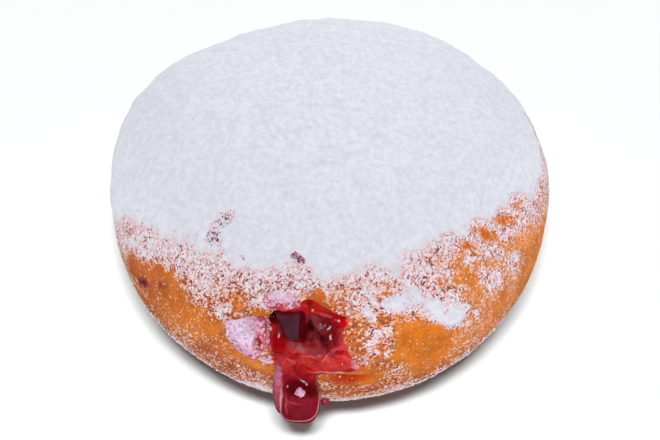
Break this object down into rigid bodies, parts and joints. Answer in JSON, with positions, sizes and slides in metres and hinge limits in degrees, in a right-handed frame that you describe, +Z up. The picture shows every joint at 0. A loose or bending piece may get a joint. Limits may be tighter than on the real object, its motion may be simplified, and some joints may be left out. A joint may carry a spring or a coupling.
{
  "type": "jam-filled doughnut",
  "caption": "Round jam-filled doughnut with a powdered sugar top, jam and dark fruit showing at the torn filling hole in its side, and a drip of jam below it.",
  "frame": {"origin": "on the table, in the flat of the underside, right below the bun's middle", "axes": "+Z up through the crown; -Y towards the filling hole; +X to the right when looking at the hole"},
  "size_m": [0.0904, 0.0946, 0.0503],
  "materials": {
    "crust": "golden fried crust, slightly oily, dusted and speckled with sugar",
    "jam": "wet, glossy, partly clear red jam",
    "fruit": "dark cooked fruit, wet, with flat matt facets",
    "sugar": "loose powdered sugar, fine and matt"
  },
  "bodies": {
    "root": {"dough": "crust", "jam_filling": "jam", "fruit_piece_left": "fruit", "fruit_piece_right": "fruit", "sugar_coat": "sugar"}
  },
  "joints": []
}
